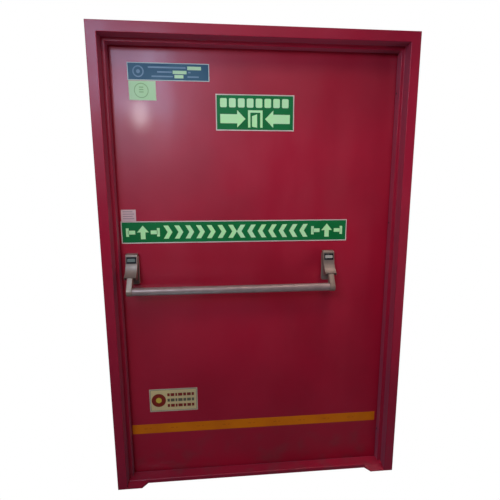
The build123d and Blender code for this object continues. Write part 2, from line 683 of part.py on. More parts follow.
def build():
    """Every piece, by the name of its node."""
    channels = {
        "leaf_latch_edge": upright_channel(-1) - lock_pocket(),
        "leaf_hinge_edge": upright_channel(1),
        "leaf_top_channel": level_channel(True),
        "leaf_bottom_channel": level_channel(False),
    }
    pieces = {
        "latch_jamb": mirror(jamb_right(), about=Plane.YZ),
        "hinge_jamb": jamb_right(),
        "frame_head": frame_head(),
        "sill": sill(),
        "hinge_foot_plate": foot_plate_right(),
        "latch_foot_plate": mirror(foot_plate_right(), about=Plane.YZ),
        "hinge_seal": jamb_seal_right(),
        "latch_seal": mirror(jamb_seal_right(), about=Plane.YZ),
        "head_seal": head_seal(),
        "strike_plate": strike_plate(),
        "leaf_push_skin": skin(True),
        "leaf_pull_skin": skin(False),
        "leaf_core": leaf_core(channels.values()),
        "lock_faceplate": lock_faceplate(),
        "latch_bolt": latch_bolt(),
        "latch_case_base": case_base(LATCH_CASE_X),
        "hinge_case_base": case_base(HINGE_CASE_X),
        "latch_hood": hood(LATCH_CASE_X),
        "hinge_hood": hood(HINGE_CASE_X),
        "latch_arm": arm(LATCH_CASE_X, 1),
        "hinge_arm": arm(HINGE_CASE_X, -1),
        "bar_tube": bar_tube(),
        "latch_pivot_pin": pivot_pin(LATCH_CASE_X),
        "hinge_pivot_pin": pivot_pin(HINGE_CASE_X),
        "latch_window": window_bezel(LATCH_CASE_X),
        "hinge_window": window_bezel(HINGE_CASE_X),
    }
    pieces.update(channels)
    pieces.update(signs())
    for name, height in zip(HINGE_NAMES, hinge_heights()):
        pieces[f"{name}_frame_wing"] = frame_wing(height)
        pieces[f"{name}_leaf_wing"] = leaf_wing(height)
    return pieces


os.makedirs("parts", exist_ok=True)
for node, solid in build().items():
    export_step(solid, f"parts/{node}.step")
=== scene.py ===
"""Dresses the emergency exit door: finishes, signs, screws, studio and camera."""
import json
import logging
import math
from dataclasses import dataclass, field
from enum import Enum
from typing import Iterable, Sequence

import bmesh
import bpy
from mathutils import Matrix, Vector

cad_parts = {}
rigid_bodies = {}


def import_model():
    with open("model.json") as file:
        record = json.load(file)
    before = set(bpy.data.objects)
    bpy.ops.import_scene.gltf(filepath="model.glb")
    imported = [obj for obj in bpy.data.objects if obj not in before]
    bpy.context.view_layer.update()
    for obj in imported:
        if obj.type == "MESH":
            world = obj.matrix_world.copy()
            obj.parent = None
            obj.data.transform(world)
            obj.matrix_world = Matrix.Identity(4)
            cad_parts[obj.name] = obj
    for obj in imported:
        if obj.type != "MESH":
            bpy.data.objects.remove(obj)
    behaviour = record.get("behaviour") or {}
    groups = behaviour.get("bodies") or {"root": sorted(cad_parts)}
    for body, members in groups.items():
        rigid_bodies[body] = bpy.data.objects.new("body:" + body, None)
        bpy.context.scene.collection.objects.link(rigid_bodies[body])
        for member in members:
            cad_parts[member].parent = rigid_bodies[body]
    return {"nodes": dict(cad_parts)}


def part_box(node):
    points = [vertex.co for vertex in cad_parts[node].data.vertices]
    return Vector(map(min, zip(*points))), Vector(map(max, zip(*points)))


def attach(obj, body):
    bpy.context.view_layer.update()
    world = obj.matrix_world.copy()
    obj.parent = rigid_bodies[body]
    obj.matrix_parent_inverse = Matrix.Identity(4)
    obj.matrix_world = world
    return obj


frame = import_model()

LOG = logging.getLogger("exit_door")
Colour = tuple[float, float, float]
Place = tuple[float, float, float]
Point = tuple[float, float]
Outline = list[Point]
Shares = tuple[float, float, float, float]

MM = 0.001
INK_RISE = 0.12 * MM
CORNER_STEPS = 5
EDGE_SEGMENTS = 2
EDGE_ANGLE = 35
EVEN_GRAIN = (1.0, 1.0, 1.0)


def srgb(red: int, green: int, blue: int) -> Colour:
    """Linear colour of an 8-bit sRGB one.

    Args:
        red: Red, 0 to 255.
        green: Green, 0 to 255.
        blue: Blue, 0 to 255.

    Returns:
        The same colour in linear light.
    """
    def linear(value: int) -> float:
        """One channel made linear."""
        share = value / 255
        return share / 12.92 if share <= 0.04045 else ((share + 0.055) / 1.055) ** 2.4
    return linear(red), linear(green), linear(blue)


class Graph:
    """Node tree of one material round a single Principled shader."""

    def __init__(self, name: str) -> None:
        """Starts an empty material.

        Args:
            name: The material's name.
        """
        self.material = bpy.data.materials.new(name)
        self.material.use_nodes = True
        self.tree = self.material.node_tree
        self.tree.nodes.clear()
        self.shader = self.add("ShaderNodeBsdfPrincipled")
        output = self.add("ShaderNodeOutputMaterial")
        self.join(self.shader.outputs[0], output.inputs[0])
        self.place = self.add("ShaderNodeTexCoord").outputs["Object"]

    def add(self, kind: str, **settings: object) -> bpy.types.Node:
        """Adds a node.

        Args:
            kind: Blender's type name of the node.
            settings: Attributes to set on it.

        Returns:
            The new node.
        """
        node = self.tree.nodes.new(kind)
        for key, value in settings.items():
            setattr(node, key, value)
        return node

    def join(self, source: bpy.types.NodeSocket, target: bpy.types.NodeSocket) -> None:
        """Links two sockets."""
        self.tree.links.new(source, target)

    def feed(self, value: object, target: bpy.types.NodeSocket) -> None:
        """Links a socket, or sets a plain value.

        Args:
            value: A socket, a number or a colour.
            target: The socket that takes it.
        """
        if isinstance(value, bpy.types.NodeSocket):
            self.join(value, target)
        elif isinstance(value, tuple) and len(value) == 3 and target.type == "RGBA":
            target.default_value = (*value, 1.0)
        else:
            target.default_value = value

    def stretched(self, stretch: Sequence[float]) -> bpy.types.NodeSocket:
        """Object coordinates scaled on each axis.

        Args:
            stretch: Scale of each axis.

        Returns:
            The scaled coordinates.
        """
        node = self.add("ShaderNodeMapping")
        node.inputs["Scale"].default_value = tuple(stretch)
        self.join(self.place, node.inputs["Vector"])
        return node.outputs["Vector"]

    def noise(
        self, scale: float, detail: float = 4.0, stretch: Sequence[float] = (1, 1, 1), shift: float = 0.0
    ) -> bpy.types.NodeSocket:
        """Noise over the object's coordinates.

        Args:
            scale: Cells to the metre.
            detail: Octaves of finer noise.
            stretch: Scale of each axis, small along the grain.
            shift: Fourth coordinate, which gives another pattern of the same kind.

        Returns:
            The noise value, from 0 to 1.
        """
        node = self.add("ShaderNodeTexNoise", noise_dimensions="4D")
        self.join(self.stretched(stretch), node.inputs["Vector"])
        node.inputs["Scale"].default_value = scale
        node.inputs["Detail"].default_value = detail
        node.inputs["W"].default_value = shift
        return node.outputs[0]

    def sum_up(self, operation: str, first: object, second: object = 0.0) -> bpy.types.NodeSocket:
        """One arithmetic step.

        Args:
            operation: Name of the operation, such as MULTIPLY.
            first: First value or socket.
            second: Second value or socket.

        Returns:
            The result.
        """
        node = self.add("ShaderNodeMath", operation=operation)
        self.feed(first, node.inputs[0])
        self.feed(second, node.inputs[1])
        return node.outputs[0]

    def spread(
        self, value: bpy.types.NodeSocket, low: float, high: float, start: float = 0.0, end: float = 1.0
    ) -> bpy.types.NodeSocket:
        """Stretches a value smoothly from one range to another.

        Args:
            value: The value to read.
            low: Where it gives start.
            high: Where it gives end.
            start: Result at low.
            end: Result at high.

        Returns:
            The stretched value, held within its range.
        """
        node = self.add("ShaderNodeMapRange", interpolation_type="SMOOTHSTEP")
        self.join(value, node.inputs[0])
        for index, number in enumerate((low, high, start, end), start=1):
            node.inputs[index].default_value = number
        return node.outputs[0]

    def blend(self, share: object, first: object, second: object) -> bpy.types.NodeSocket:
        """Mixes two colours.

        Args:
            share: How much of the second one shows.
            first: Colour or socket.
            second: Colour or socket.

        Returns:
            The mixed colour.
        """
        node = self.add("ShaderNodeMix", data_type="RGBA")
        self.feed(share, node.inputs[0])
        self.feed(first, node.inputs[6])
        self.feed(second, node.inputs[7])
        return node.outputs[2]

    def axis(self, name: str) -> bpy.types.NodeSocket:
        """One object coordinate.

        Args:
            name: X, Y or Z.

        Returns:
            The coordinate, in metres.
        """
        node = self.add("ShaderNodeSeparateXYZ")
        self.join(self.place, node.inputs[0])
        return node.outputs[name]

    def relief(self, *layers: tuple[bpy.types.NodeSocket, float]) -> None:
        """Bumps the surface.

        Args:
            layers: Height and its depth in metres, from the coarsest to the finest.
        """
        normal = None
        for height, depth in layers:
            node = self.add("ShaderNodeBump")
            node.inputs["Strength"].default_value = 1.0
            node.inputs["Distance"].default_value = depth
            self.join(height, node.inputs["Height"])
            if normal is not None:
                self.join(normal, node.inputs["Normal"])
            normal = node.outputs[0]
        self.join(normal, self.shader.inputs["Normal"])

    def set(self, **values: object) -> None:
        """Sets or links sockets of the shader, by their names with underscores for spaces."""
        for key, value in values.items():
            self.feed(value, self.shader.inputs[key.replace("_", " ")])

    def roughen(self, wear: bpy.types.NodeSocket, roughness: float, smoother: float, rougher: float) -> None:
        """Gives the surface wiped and scuffed places.

        Args:
            wear: Noise that places them.
            roughness: Roughness of the finish as a whole.
            smoother: How much smoother the wiped places are.
            rougher: How much rougher the scuffed places are.
        """
        self.set(Roughness=self.spread(wear, 0.3, 0.7, roughness - smoother, roughness + rougher))


@dataclass(frozen=True)
class Enamel:
    """Sprayed red enamel over folded sheet: orange peel, a faint dusty film in the bluish-pink of a painted
    reflection haze, and wiped streaks.
    """

    name: str
    colour: Colour
    deep: Colour
    # Tint of the dusty film, partly dust and partly a painted bluish-pink reflection haze.
    dust_and_reflection_tint: Colour
    dust_and_reflection_share: float
    roughness: float
    waviness: float
    specular: float
    coat: float
    coat_roughness: float
    haze: float
    haze_roughness: float = 0.45
    haze_tint: Colour = (0.62, 0.74, 1.0)
    grime: Colour = srgb(92, 70, 66)
    grime_share: float = 0.28
    grime_height: float = 0.35
    peel_scale: float = 420.0
    peel_depth: float = 0.12 * MM

    def tone(self, graph: Graph) -> bpy.types.NodeSocket:
        """Colour of the enamel with its grime and a dusty film of streaks and mottle, whose bluish-pink tint
        is a painted reflection haze.

        Args:
            graph: The material's node tree.

        Returns:
            The colour.
        """
        tone = graph.blend(graph.spread(graph.noise(2.3, 5), 0.3, 0.7), self.colour, self.deep)
        streaks = graph.spread(graph.noise(9, 6, (1.0, 1.0, 0.12)), 0.5, 0.78)
        mottle = graph.spread(graph.noise(38, 6, shift=3.0), 0.42, 0.75)
        # The film lies at random like dusty streaks, but its bluish-pink colour is a painted reflection haze.
        film = graph.sum_up("MULTIPLY", graph.sum_up("ADD", streaks, mottle), self.dust_and_reflection_share)
        foot = graph.spread(graph.axis("Z"), 0.0, self.grime_height, 1.0, 0.0)
        patches = graph.spread(graph.noise(14, 7, shift=7.0), 0.45, 0.7)
        soiled = graph.sum_up("MULTIPLY", graph.sum_up("MULTIPLY", foot, patches), self.grime_share)
        return graph.blend(soiled, graph.blend(film, tone, self.dust_and_reflection_tint), self.grime)

    def build(self) -> bpy.types.Material:
        """Makes the material.

        Returns:
            The new material.
        """
        graph = Graph(self.name)
        graph.set(Base_Color=self.tone(graph))
        smear = graph.noise(6, 5, (1.0, 1.0, 0.5), shift=11.0)
        graph.set(Roughness=graph.spread(smear, 0.3, 0.72, self.roughness - 0.06, self.roughness + 0.1))
        graph.set(Specular_IOR_Level=self.specular)
        graph.set(Coat_Weight=self.coat, Coat_Roughness=self.coat_roughness)
        graph.set(Sheen_Weight=self.haze, Sheen_Roughness=self.haze_roughness, Sheen_Tint=self.haze_tint)
        graph.relief(
            (graph.noise(2.1, 2, shift=5.0), self.waviness),
            (graph.noise(self.peel_scale, 2, shift=1.0), self.peel_depth),
        )
        return graph.material


@dataclass(frozen=True)
class Metal:
    """Bare or silver-painted metal with a fine grain."""

    name: str
    colour: Colour
    shade: Colour
    metallic: float
    roughness: float
    grain: tuple[float, float, float]
    grain_scale: float
    grain_depth: float
    stain_share: float = 0.55

    def build(self) -> bpy.types.Material:
        """Makes the material.

        Returns:
            The new material.
        """
        graph = Graph(self.name)
        grain = graph.noise(self.grain_scale, 4, self.grain)
        stains = graph.spread(graph.noise(24, 6, shift=2.0), 0.4, 0.72)
        tone = graph.blend(graph.sum_up("MULTIPLY", stains, self.stain_share), self.colour, self.shade)
        graph.set(Base_Color=graph.blend(graph.spread(grain, 0.35, 0.75, 0.0, 0.3), tone, self.shade))
        graph.set(Metallic=self.metallic)
        graph.roughen(graph.noise(17, 5, shift=4.0), self.roughness, 0.07, 0.1)
        graph.relief((grain, self.grain_depth))
        return graph.material


@dataclass(frozen=True)
class Print:
    """Printed film or plate, slightly faded and rubbed."""

    name: str
    colour: Colour
    faded: Colour
    roughness: float = 0.46
    specular: float = 0.25
    speck_share: float = 0.4
    film_depth: float = 0.03 * MM

    def build(self) -> bpy.types.Material:
        """Makes the material.

        Returns:
            The new material.
        """
        graph = Graph(self.name)
        fade = graph.spread(graph.noise(7, 5), 0.35, 0.7)
        specks = graph.spread(graph.noise(160, 4, shift=6.0), 0.58, 0.8, 0.0, 0.5)
        tone = graph.blend(fade, self.colour, self.faded)
        rubbed = graph.sum_up("MULTIPLY", specks, self.speck_share)
        graph.set(Base_Color=graph.blend(rubbed, tone, self.faded))
        graph.roughen(graph.noise(11, 4, shift=8.0), self.roughness, 0.05, 0.08)
        graph.set(Specular_IOR_Level=self.specular)
        graph.relief((graph.noise(240, 3, shift=9.0), self.film_depth))
        return graph.material


@dataclass(frozen=True)
class Plastic:
    """Moulded plastic or rubber with a fine texture."""

    name: str
    colour: Colour
    pale: Colour
    roughness: float
    texture_scale: float = 900.0
    texture_depth: float = 0.04 * MM

    def build(self) -> bpy.types.Material:
        """Makes the material.

        Returns:
            The new material.
        """
        graph = Graph(self.name)
        bloom = graph.spread(graph.noise(30, 6), 0.45, 0.75, 0.0, 0.5)
        graph.set(Base_Color=graph.blend(bloom, self.colour, self.pale))
        graph.roughen(graph.noise(21, 4, shift=3.0), self.roughness, 0.05, 0.1)
        graph.relief((graph.noise(self.texture_scale, 2, shift=5.0), self.texture_depth))
        return graph.material


class Finish(Enum):
    """Every finish on the door."""

    # The third colour of each enamel is the dusty film, tinted as a painted bluish-pink reflection haze.
    LEAF_ENAMEL = Enamel(
        "leaf_enamel", srgb(182, 8, 42), srgb(166, 6, 36), srgb(160, 90, 112),
        dust_and_reflection_share=0.015, roughness=0.43, waviness=0.8 * MM,
        specular=0.55, coat=0.25, coat_roughness=0.14, haze=0.03,
    )
    FRAME_ENAMEL = Enamel(
        "frame_enamel", srgb(172, 10, 44), srgb(156, 8, 38), srgb(160, 90, 112),
        dust_and_reflection_share=0.02, roughness=0.40, waviness=0.5 * MM,
        specular=0.32, coat=0.15, coat_roughness=0.14, haze=0.28,
    )
    CASE_SILVER = Metal(
        "case_silver", srgb(158, 136, 114), srgb(130, 109, 90),
        metallic=0.4, roughness=0.40, grain=EVEN_GRAIN, grain_scale=700, grain_depth=0.06 * MM,
    )
    # Darker copy of the case silver for the hoods and case bases, the same real finish: painted shade.
    HOOD_SILVER = Metal(
        "hood_silver_painted_shade", srgb(146, 127, 109), srgb(120, 102, 86),
        metallic=0.4, roughness=0.40, grain=EVEN_GRAIN, grain_scale=700, grain_depth=0.06 * MM,
    )
    TUBE_SATIN = Metal(
        "tube_satin", srgb(166, 140, 128), srgb(138, 115, 104),
        metallic=0.35, roughness=0.44, grain=(0.02, 1, 1), grain_scale=500, grain_depth=0.03 * MM,
    )
    HINGE_STEEL = Metal(
        "satin_steel", srgb(168, 168, 166), srgb(120, 119, 116),
        metallic=1.0, roughness=0.34, grain=(1, 1, 0.03), grain_scale=420, grain_depth=0.03 * MM,
    )
    BRIGHT_STEEL = Metal(
        "bright_steel", srgb(196, 195, 190), srgb(150, 148, 143),
        metallic=1.0, roughness=0.27, grain=(1, 1, 0.05), grain_scale=500, grain_depth=0.02 * MM,
    )
    WINDOW_BLACK = Plastic("window_black", srgb(22, 22, 23), srgb(52, 50, 50), 0.26)
    WINDOW_INSET = Plastic("window_inset", srgb(178, 170, 150), srgb(152, 144, 128), 0.42)
    WINDOW_GREEN = Plastic("window_green", srgb(112, 122, 106), srgb(96, 100, 92), 0.38)
    # Flat dark crosses on screw heads: painted shade standing in for the recesses.
    RECESS_DARK = Plastic("recess_painted_shade", srgb(34, 32, 32), srgb(52, 48, 46), 0.6)
    # Anchor heads in the jamb holes, a real part darkened red: painted shade of the holes.
    ANCHOR_DARK = Plastic("anchor_painted_shade", srgb(54, 14, 18), srgb(72, 36, 34), 0.5)
    SEAL_RUBBER = Plastic(
        "black_rubber", srgb(30, 24, 25), srgb(64, 52, 52), 0.62, texture_scale=400, texture_depth=0.1 * MM
    )
    CORE_BOARD = Plastic(
        "core_board", srgb(176, 160, 126), srgb(140, 122, 92), 0.85, texture_scale=180, texture_depth=0.2 * MM
    )
    SIGN_GREEN = Print("green_print", srgb(4, 110, 48), srgb(12, 120, 58))
    SIGN_PALE = Print("pale_print", srgb(198, 252, 166), srgb(204, 246, 182))
    SIGN_EDGE = Print("edge_print", srgb(228, 212, 190), srgb(204, 186, 168))
    PLATE_BLUE = Print("blue_print", srgb(44, 84, 104), srgb(58, 96, 112))
    PLATE_WHITE = Print("white_print", srgb(214, 224, 206), srgb(190, 200, 186))
    PLATE_BAR = Print("bar_print", srgb(134, 156, 168), srgb(110, 136, 150))
    BOX_GREEN = Print("box_green", srgb(206, 236, 178), srgb(186, 216, 164))
    LABEL_GREEN = Print("label_green", srgb(186, 222, 158), srgb(196, 224, 170))
    LABEL_DEEP = Print("label_deep", srgb(138, 180, 116), srgb(146, 188, 124))
    LABEL_CREAM = Print("label_cream", srgb(208, 196, 160), srgb(196, 178, 146))
    LABEL_GREY = Print("label_grey", srgb(232, 194, 180), srgb(212, 172, 164))
    LABEL_MARK = Print("label_mark", srgb(176, 140, 134), srgb(186, 150, 144))
    STICKER_TAN = Print("sticker_tan", srgb(228, 202, 136), srgb(214, 190, 134))
    STICKER_RED = Print("sticker_red", srgb(140, 40, 26), srgb(128, 48, 36))
    STICKER_DARK = Print("sticker_dark", srgb(96, 88, 64), srgb(112, 104, 78))
    STICKER_YELLOW = Print("sticker_yellow", srgb(222, 190, 70), srgb(206, 172, 66))
    TAPE_AMBER = Print("amber_film", srgb(234, 126, 4), srgb(220, 112, 8))
    TAPE_DARK = Print("amber_mark", srgb(216, 108, 6), srgb(206, 102, 10))

    def material(self) -> bpy.types.Material:
        """The finish as a Blender material, made once."""
        found = bpy.data.materials.get(self.value.name)
        return found or self.value.build()


def paint(node: str, finish: Finish) -> None:
    """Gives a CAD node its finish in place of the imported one.

    Args:
        node: The node's name.
        finish: Its finish.
    """
    mesh = frame["nodes"][node].data
    mesh.materials.clear()
    mesh.materials.append(finish.material())


def soften(node: str, width: float) -> None:
    """Rounds a CAD node's sharp edges a little, with a bevel modifier.

    Args:
        node: The node's name.
        width: Width of the bevel.
    """
    bevel = frame["nodes"][node].modifiers.new("edges", "BEVEL")
    bevel.width = width
    bevel.segments = EDGE_SEGMENTS
    bevel.limit_method = "ANGLE"
    bevel.angle_limit = math.radians(EDGE_ANGLE)


def make_piece(
    name: str, shape: bmesh.types.BMesh, finish: Finish, body: str
) -> bpy.types.Object:
    """Turns a finished shape into a piece that rides on a body.

    Args:
        name: Name of the piece.
        shape: Its mesh, in metres in the door's frame.
        finish: Its finish.
        body: The CAD body it moves with.

    Returns:
        The new object.
    """
    bmesh.ops.recalc_face_normals(shape, faces=shape.faces)
    mesh = bpy.data.meshes.new(name)
    shape.to_mesh(mesh)
    shape.free()
    mesh.materials.append(finish.material())
    piece = bpy.data.objects.new(name, mesh)
    bpy.context.scene.collection.objects.link(piece)
    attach(piece, body)
    return piece


def thicken(shape: bmesh.types.BMesh, rear: list[bmesh.types.BMVert], way: Vector) -> None:
    """Closes a flat outline with a face and extrudes it.

    Args:
        shape: The mesh that holds it.
        rear: Points of its rear face, in order.
        way: How far and which way its front face lies.
    """
    grown = bmesh.ops.extrude_face_region(shape, geom=[shape.faces.new(rear)])["geom"]
    moved = [item for item in grown if isinstance(item, bmesh.types.BMVert)]
    bmesh.ops.translate(shape, verts=moved, vec=way)


def rectangle(left: float, bottom: float, width: float, height: float, corner: float = 0.0) -> Outline:
    """Outline of a rectangle.

    Args:
        left: Its left edge.
        bottom: Its bottom edge.
        width: Its width.
        height: Its height.
        corner: Radius of its corners.

    Returns:
        Points, anticlockwise.
    """
    right, top = left + width, bottom + height
    if not corner:
        return [(left, bottom), (right, bottom), (right, top), (left, top)]
    centres = [
        (right - corner, bottom + corner, -90),
        (right - corner, top - corner, 0),
        (left + corner, top - corner, 90),
        (left + corner, bottom + corner, 180),
    ]
    return [
        (
            x + corner * math.cos(math.radians(start + 90 * step / CORNER_STEPS)),
            z + corner * math.sin(math.radians(start + 90 * step / CORNER_STEPS)),
        )
        for x, z, start in centres
        for step in range(CORNER_STEPS + 1)
    ]


def disc(x: float, z: float, radius: float, steps: int = 40) -> Outline:
    """Outline of a disc.

    Args:
        x: Its centre.
        z: Its centre's height.
        radius: Its radius.
        steps: How many points it has.

    Returns:
        Points, anticlockwise.
    """
    turns = [2 * math.pi / steps * step for step in range(steps)]
    return [(x + radius * math.cos(turn), z + radius * math.sin(turn)) for turn in turns]


def chevron(x: float, z: float, width: float, height: float, thickness: float, way: int) -> Outline:
    """Outline of a chevron.

    Args:
        x: Its tail's nearer side.
        z: Its middle height.
        width: How far its tip reaches.
        height: Its whole height.
        thickness: Its breadth along x.
        way: 1 to point to the right, -1 to the left.

    Returns:
        Points in order round it.
    """
    half = height / 2
    tip = way * (width - thickness)
    band = way * thickness
    return [
        (x, z - half),
        (x + band, z - half),
        (x + tip + band, z),
        (x + band, z + half),
        (x, z + half),
        (x + tip, z),
    ]


def arrow(x: float, z: float, length: float, height: float, way: int) -> Outline:
    """Outline of a block arrow.

    Args:
        x: Its tail.
        z: Its middle height.
        length: Its whole length.
        height: Height of its head.
        way: 1 to point to the right, -1 to the left.

    Returns:
        Points in order round it.
    """
    half, shaft = height / 2, height / 3.8
    neck = x + way * (length - half)
    return [
        (x, z - shaft),
        (neck, z - shaft),
        (neck, z - half),
        (x + way * length, z),
        (neck, z + half),
        (neck, z + shaft),
        (x, z + shaft),
    ]


@dataclass
class InkLayer:
    """A thin raised layer of print on the leaf, made of flat outlines."""

    name: str
    finish: Finish
    slot: str
    back: float
    rise: float = INK_RISE
    body: str = "leaf"

    def build(self, outlines: Iterable[Outline]) -> bpy.types.Object:
        """Makes the layer.

        Args:
            outlines: Closed outlines in the leaf's plane, as x and height.

        Returns:
            The layer's object.
        """
        shape = bmesh.new()
        for outline in outlines:
            rear = [shape.verts.new((x, self.back, z)) for x, z in outline]
            thicken(shape, rear, Vector((0, -self.rise, 0)))
        return make_piece(self.name, shape, self.finish, self.body)


@dataclass
class Plate:
    """A sign or label of the CAD model, with its box in the leaf's plane."""

    node: str
    slot: str
    left: float = field(init=False)
    right: float = field(init=False)
    bottom: float = field(init=False)
    top: float = field(init=False)
    face: float = field(init=False)

    def __post_init__(self) -> None:
        """Reads the plate's place from the frame."""
        low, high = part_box(self.node)
        self.left, self.right = low.x, high.x
        self.bottom, self.top = low.z, high.z
        self.face = low.y

    @property
    def width(self) -> float:
        """Width of the plate."""
        return self.right - self.left

    @property
    def height(self) -> float:
        """Height of the plate."""
        return self.top - self.bottom

    def at(self, across: float, up: float) -> Point:
        """A point of the plate, by its share across and up."""
        return self.left + across * self.width, self.bottom + up * self.height

    def bar(self, across: float, up: float, width: float, height: float, corner: float = 0.0) -> Outline:
        """A bar on the plate, all in shares of the plate.

        Args:
            across: Its left edge.
            up: Its bottom edge.
            width: Its width.
            height: Its height.
            corner: Corner radius as a share of the bar's height.

        Returns:
            The bar's outline.
        """
        x, z = self.at(across, up)
        tall = height * self.height
        return rectangle(x, z, width * self.width, tall, corner * tall)

    def inner(self, border: float, corner: float = 0.0) -> Outline:
        """The plate's outline drawn in on all sides.

        Args:
            border: How far it is drawn in.
            corner: Its corner radius.

        Returns:
            The smaller outline.
        """
        width, height = self.width - 2 * border, self.height - 2 * border
        return rectangle(self.left + border, self.bottom + border, width, height, corner)

    def layer(
        self, label: str, finish: Finish, outlines: Iterable[Outline], level: int = 0
    ) -> bpy.types.Object:
        """Prints outlines on the plate.

        Args:
            label: Ending of the layer's name.
            finish: Finish of the ink.
            outlines: What is printed.
            level: 0 on the plate itself, 1 on the layer before.

        Returns:
            The layer's object.
        """
        back = self.face - level * INK_RISE
        return InkLayer(f"{self.node}_{label}", finish, self.slot, back).build(outlines)


@dataclass
class Signs:
    """Signs, labels and tape on the leaf, printed with plain motifs.

    Bars, boxes and blocks are given in shares of their plate: left edge, bottom edge, width and height.
    """

    border: float = 4.5 * MM
    plate_border: float = 3.0 * MM
    label_border: float = 2.0 * MM
    sticker_line: float = 4.5 * MM
    sticker_field: float = 6.0 * MM
    block_count: int = 8
    block_pitch: float = 0.1125
    chevron_count: int = 7
    chevron_pitch: float = 0.047
    plate_bars: tuple[Shares, ...] = (
        (0.25, 0.70, 0.46, 0.09), (0.36, 0.45, 0.18, 0.08), (0.74, 0.45, 0.03, 0.08),
        (0.29, 0.20, 0.26, 0.08), (0.73, 0.20, 0.14, 0.08),
    )
    plate_boxes: tuple[Shares, ...] = (
        (0.73, 0.63, 0.17, 0.20), (0.55, 0.39, 0.17, 0.19), (0.57, 0.15, 0.11, 0.19),
    )
    row_start: float = 0.37
    row_gap: float = 0.018
    row_widths: tuple[float, ...] = (0.05, 0.08, 0.04, 0.09, 0.06, 0.08, 0.05)
    dash_pitch: float = 131 * MM
    dashes: tuple[Point, ...] = ((20 * MM, 16 * MM), (46 * MM, 9 * MM))

    def exit_sign(self) -> None:
        """Way-out sign: a row of short bars over an open doorway between two arrows."""
        plate = Plate("exit_sign", "sign_green")
        paint(plate.node, Finish.SIGN_EDGE)
        plate.layer("field", Finish.SIGN_GREEN, [plate.inner(self.border)])
        margin = 0.055
        starts = [margin + self.block_pitch * step for step in range(self.block_count)]
        row = [plate.bar(start, 0.64, 0.085, 0.25, 0.15) for start in starts]
        middle = plate.bottom + 0.33 * plate.height
        size, reach = 0.48 * plate.height, 0.32 * plate.width
        left = arrow(plate.left + margin * plate.width, middle, reach, size, 1)
        right = arrow(plate.right - margin * plate.width, middle, reach, size, -1)
        plate.layer("motif", Finish.SIGN_PALE, [*row, left, right, *self.doorway(plate, middle, size)], 1)

    def doorway(self, plate: Plate, middle: float, height: float) -> list[Outline]:
        """A door frame with its leaf ajar.

        Args:
            plate: The sign that holds it.
            middle: Its middle height.
            height: Its whole height.

        Returns:
            Outlines of its posts, head and leaf.
        """
        centre = (plate.left + plate.right) / 2
        low, high = middle - height / 2, middle + height / 2
        half, band = height * 0.44, height * 0.14
        return [
            rectangle(centre - half, low, band, height),
            rectangle(centre + half - band, low, band, height),
            rectangle(centre - half + band, high - band, 2 * (half - band), band),
            [
                (centre - half * 0.45, low + band * 0.4),
                (centre + half * 0.25, low),
                (centre + half * 0.25, high - 1.6 * band),
                (centre - half * 0.45, high - 2.4 * band),
            ],
        ]

    def push_sign(self) -> None:
        """Sign over the bar: chevrons that run to its middle, with a drawing of a bar at each end."""
        plate = Plate("push_sign", "sign_green")
        paint(plate.node, Finish.SIGN_EDGE)
        plate.layer("field", Finish.SIGN_GREEN, [plate.inner(self.border)])
        middle = plate.bottom + 0.5 * plate.height
        tall = 0.6 * plate.height
        shapes: list[Outline] = []
        for step in range(self.chevron_count):
            offset = 0.18 * plate.width + step * self.chevron_pitch * plate.width
            shapes.append(chevron(plate.left + offset, middle, 0.66 * tall, tall, 0.36 * tall, 1))
            shapes.append(chevron(plate.right - offset, middle, 0.66 * tall, tall, 0.36 * tall, -1))
        inset = 0.092 * plate.width
        for centre in (plate.left + inset, plate.right - inset):
            shapes += self.bar_mark(centre, middle, 0.62 * plate.height)
        plate.layer("motif", Finish.SIGN_PALE, shapes, 1)

    def bar_mark(self, x: float, z: float, size: float) -> list[Outline]:
        """A bar between two end blocks, with an upward arrow.

        Args:
            x: Its middle.
            z: Its middle height.
            size: Its height.

        Returns:
            Its outlines.
        """
        half = size / 2
        thin, block = size * 0.14, half * 0.62
        neck, head = 0.17 * size, 0.42 * size
        return [
            rectangle(x - 1.05 * size, z - thin, 0.5 * size, 2 * thin),
            rectangle(x + 0.55 * size, z - thin, 0.5 * size, 2 * thin),
            rectangle(x - 1.2 * size, z - block, 0.2 * size, 2 * block),
            rectangle(x + 1.0 * size, z - block, 0.2 * size, 2 * block),
            [
                (x - neck, z - half),
                (x + neck, z - half),
                (x + neck, z),
                (x + head, z),
                (x, z + half),
                (x - head, z),
                (x - neck, z),
            ],
        ]

    def certificate_plate(self) -> None:
        """Dark blue plate: a plain ring, thin bars and pale boxes."""
        plate = Plate("certificate_plate", "plate_blue")
        paint(plate.node, Finish.PLATE_WHITE)
        plate.layer("field", Finish.PLATE_BLUE, [plate.inner(self.plate_border)])
        x, z = plate.at(0.13, 0.5)
        self.ring(plate, x, z, 0.33 * plate.height)
        plate.layer("bars", Finish.PLATE_BAR, [plate.bar(*shares, 0.2) for shares in self.plate_bars], 1)
        plate.layer("boxes", Finish.BOX_GREEN, [plate.bar(*shares) for shares in self.plate_boxes], 1)

    def ring(self, plate: Plate, x: float, z: float, radius: float) -> None:
        """A plain ring with a dot, printed over the blue field.

        Args:
            plate: The plate that holds it.
            x: Its centre.
            z: Its centre's height.
            radius: Its outer radius.
        """
        plate.layer("ring", Finish.PLATE_BAR, [disc(x, z, radius)], 1)
        plate.layer("ring_ground", Finish.PLATE_BLUE, [disc(x, z, 0.78 * radius)], 2)
        plate.layer("ring_dot", Finish.PLATE_BAR, [disc(x, z, 0.34 * radius)], 3)

